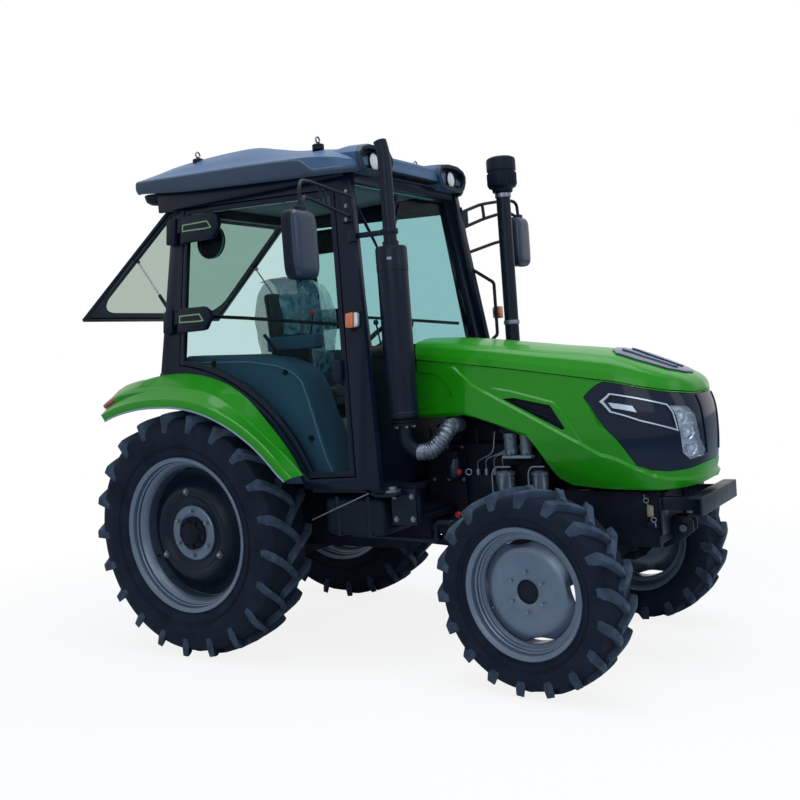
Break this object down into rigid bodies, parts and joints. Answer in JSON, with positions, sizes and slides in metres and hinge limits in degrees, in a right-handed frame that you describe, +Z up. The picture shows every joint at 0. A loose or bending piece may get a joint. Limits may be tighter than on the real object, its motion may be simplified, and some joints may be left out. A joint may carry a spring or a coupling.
{
  "type": "farm tractor",
  "caption": "Cab farm tractor with driven front axle, one-piece sloping hood, glazed doors, raised rear window and three-point linkage.",
  "frame": {"origin": "on the ground, at the middle of the machine's length and width", "axes": "+X forward, +Y to the driver's left, +Z up"},
  "size_m": [3.9397, 2.68, 3.061],
  "materials": {
    "green_paint": "gloss",
    "black_paint": "satin",
    "frame_black": "satin",
    "rim_silver": "satin",
    "tyre_rubber": "matt",
    "roof_plastic": "satin",
    "black_plastic": "satin",
    "gloss_black": "gloss",
    "cab_grey": "matt",
    "door_glass": "gloss",
    "lamp_clear": "gloss",
    "seat_fabric": "matt",
    "steel": "satin",
    "cast": "matt"
  },
  "bodies": {
    "chassis": {"air_intake_stack": "black_paint", "ballast_carrier": "black_paint", "cab_floor": "cab_grey", "cab_frame": "frame_black", "cab_mounts": "black_paint", "cab_steps": "black_paint", "dashboard": "cab_grey", "drawbar_frame": "black_paint", "engine_block": "cast", "exhaust_stack": "black_paint", "front_axle_beam": "cast", "front_bolster": "cast", "front_drive_shaft": "black_paint", "fuel_filters": "steel", "fuel_tank": "black_plastic", "gearbox_housing": "cast", "headliner": "cab_grey", "lamps": "lamp_clear", "mirrors": "black_plastic", "radiator": "black_paint", "rear_axle_housing": "cast", "rear_fender_left": "green_paint", "rear_fender_right": "green_paint", "rocker_housing": "cast", "roof": "roof_plastic", "seat_base": "black_paint", "seat_cushions": "seat_fabric", "side_consoles": "cab_grey", "windscreen": "door_glass"},
    "wheel_rear_left": {"tyre_rear_left": "tyre_rubber", "rim_rear_left": "rim_silver", "wheel_disc_rear_left": "black_paint"},
    "wheel_rear_right": {"tyre_rear_right": "tyre_rubber", "rim_rear_right": "rim_silver", "wheel_disc_rear_right": "black_paint"},
    "wheel_front_left": {"tyre_front_left": "tyre_rubber", "rim_front_left": "rim_silver"},
    "wheel_front_right": {"tyre_front_right": "tyre_rubber", "rim_front_right": "rim_silver"},
    "knuckle_left": {"knuckle_left": "cast"},
    "knuckle_right": {"knuckle_right": "cast"},
    "tie_rod": {"tie_rod": "black_paint"},
    "steering_wheel": {"steering_wheel": "black_plastic"},
    "door_left": {"door_frame_left": "frame_black", "door_glass_left": "door_glass"},
    "door_right": {"door_frame_right": "frame_black", "door_glass_right": "door_glass"},
    "rear_window": {"rear_window_frame": "frame_black", "rear_window_glass": "door_glass"},
    "window_struts": {"window_strut_tubes": "black_paint"},
    "window_rods": {"window_strut_rods": "steel"},
    "hood": {"hood_shell": "green_paint", "hood_hinges": "black_paint", "nose_bezel": "gloss_black", "headlamps": "lamp_clear", "hood_scoop": "gloss_black"},
    "pto_shaft": {"pto_shaft": "steel"},
    "lift_arms": {"lift_arms": "cast"},
    "lower_links": {"lower_links": "cast"},
    "lift_rods": {"lift_rods": "steel"}
  },
  "joints": [
    {"name": "rear_left_spin", "type": "hinge", "parent": "chassis", "child": "wheel_rear_left", "pos_m": [-0.9125, 0.766, 0.738], "axis": [0, 1, 0], "continuous": true},
    {"name": "rear_right_spin", "type": "hinge", "parent": "chassis", "child": "wheel_rear_right", "pos_m": [-0.9125, -0.766, 0.738], "axis": [0, 1, 0], "continuous": true},
    {"name": "front_left_spin", "type": "hinge", "parent": "knuckle_left", "child": "wheel_front_left", "pos_m": [1.29474, 0.74391, 0.508], "axis": [0.1132, 0.9936, 0], "continuous": true},
    {"name": "front_right_spin", "type": "hinge", "parent": "knuckle_right", "child": "wheel_front_right", "pos_m": [1.25626, -0.74391, 0.508], "axis": [0.1132, 0.9936, 0], "continuous": true},
    {"name": "steer_right", "type": "hinge", "parent": "chassis", "child": "knuckle_right", "pos_m": [1.2755, -0.575, 0.508], "axis": [0, 0, 1], "range_deg": [-28.5, 41.5]},
    {"name": "steer_left", "type": "hinge", "parent": "chassis", "child": "knuckle_left", "pos_m": [1.2755, 0.575, 0.508], "axis": [0, 0, 1], "range_deg": [-28.5, 41.5]},
    {"name": "tie_rod_pivot", "type": "hinge", "parent": "knuckle_right", "child": "tie_rod", "pos_m": [1.11156, -0.55632, 0.4], "axis": [0, 0, 1], "range_deg": [-41.5, 28.5]},
    {"name": "steering_wheel_turn", "type": "hinge", "parent": "chassis", "child": "steering_wheel", "pos_m": [0.0275, 0, 1.815], "axis": [-0.6157, 0, 0.788], "range_deg": [-285, 415]},
    {"name": "door_left_swing", "type": "hinge", "parent": "chassis", "child": "door_left", "pos_m": [-1.0285, 0.74819, 1.74986], "axis": [0.0388, -0.1191, 0.9921], "range_deg": [0, 75]},
    {"name": "door_right_swing", "type": "hinge", "parent": "chassis", "child": "door_right", "pos_m": [-1.0285, -0.74819, 1.74986], "axis": [-0.0388, -0.1191, -0.9921], "range_deg": [0, 75]},
    {"name": "rear_window_tilt", "type": "hinge", "parent": "chassis", "child": "rear_window", "pos_m": [-1.1265, 0, 2.736], "axis": [0, 1, 0], "range_deg": [-46.5, 0]},
    {"name": "window_strut_tilt", "type": "hinge", "parent": "chassis", "child": "window_struts", "pos_m": [-1.1085, 0, 1.95], "axis": [0, 1, 0], "range_deg": [-0.5, 31.95]},
    {"name": "window_strut_slide", "type": "slide", "parent": "window_struts", "child": "window_rods", "axis": [-0.5893, 0, 0.8079], "range_m": [-0.26286, 0.002]},
    {"name": "hood_lift", "type": "hinge", "parent": "chassis", "child": "hood", "pos_m": [0.3775, 0, 1.766], "axis": [0, -1, 0], "range_deg": [0, 42]},
    {"name": "pto_spin", "type": "hinge", "parent": "chassis", "child": "pto_shaft", "pos_m": [-1.2425, 0, 0.64], "axis": [1, 0, 0], "continuous": true},
    {"name": "lift_arm_raise", "type": "hinge", "parent": "chassis", "child": "lift_arms", "pos_m": [-1.2875, 0, 0.95], "axis": [0, 1, 0], "range_deg": [-20, 38]},
    {"name": "lower_link_raise", "type": "hinge", "parent": "chassis", "child": "lower_links", "pos_m": [-1.0825, 0, 0.43], "axis": [0, 1, 0], "range_deg": [-12, 22]},
    {"name": "lift_rod_pivot", "type": "hinge", "parent": "lift_arms", "child": "lift_rods", "pos_m": [-1.5525, 0, 1], "axis": [0, 1, 0], "range_deg": [-38, 20]}
  ],
  "couplings": [
    {"joint": "steer_left", "follows": "steer_right", "ratio": 1},
    {"joint": "tie_rod_pivot", "follows": "steer_right", "ratio": -1},
    {"joint": "steering_wheel_turn", "follows": "steer_right", "ratio": 10},
    {"joint": "window_strut_tilt", "follows": "rear_window_tilt", "ratio": -0.67627},
    {"joint": "window_strut_slide", "follows": "rear_window_tilt", "m_per_rad": 0.32142},
    {"joint": "lower_link_raise", "follows": "lift_arm_raise", "ratio": 0.565},
    {"joint": "lift_rod_pivot", "follows": "lift_arm_raise", "ratio": -0.92}
  ]
}
